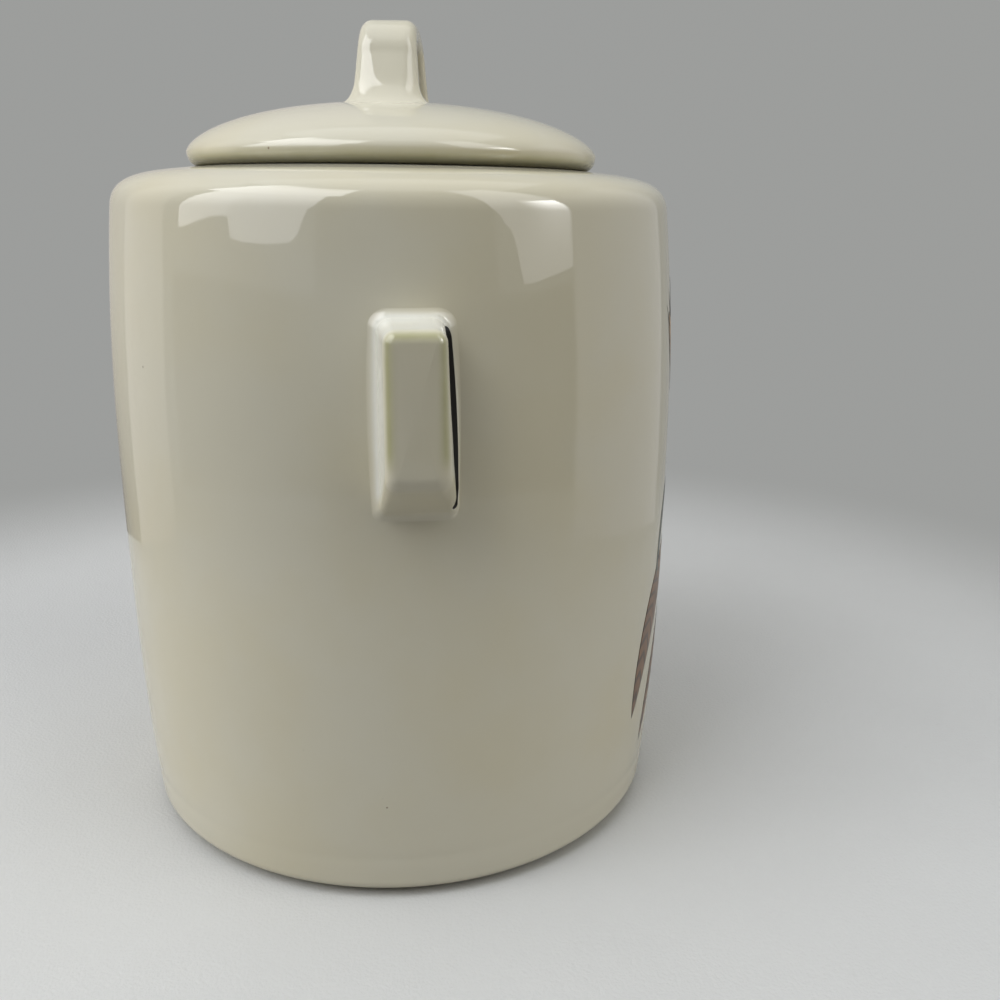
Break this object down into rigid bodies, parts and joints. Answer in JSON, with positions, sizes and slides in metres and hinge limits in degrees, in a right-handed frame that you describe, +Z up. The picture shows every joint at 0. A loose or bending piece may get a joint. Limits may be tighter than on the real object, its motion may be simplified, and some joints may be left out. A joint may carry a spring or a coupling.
{
  "type": "biscuit jar",
  "caption": "Round barrel jar in ivory glazed earthenware with two lug handles with finger slots and a domed lift-off lid with a strap loop.",
  "frame": {"origin": "centre of the circle that the foot ring stands on, at the surface that the jar stands on", "axes": "+Z up the jar's axis; the front faces -Y; the lug handles stand out along -X (left) and +X (right)"},
  "size_m": [0.212, 0.1794, 0.2463],
  "materials": {
    "jar_glaze": "high gloss ivory glaze",
    "lid_glaze": "high gloss ivory glaze"
  },
  "bodies": {
    "jar": {"jar_body": "jar_glaze", "side_handle_left": "jar_glaze", "side_handle_right": "jar_glaze"},
    "cover": {"lid": "lid_glaze", "lid_handle": "lid_glaze"}
  },
  "joints": [
    {"name": "lid_lift", "type": "slide", "parent": "jar", "child": "cover", "axis": [0, 0, 1], "range_m": [0, 0.15]}
  ]
}
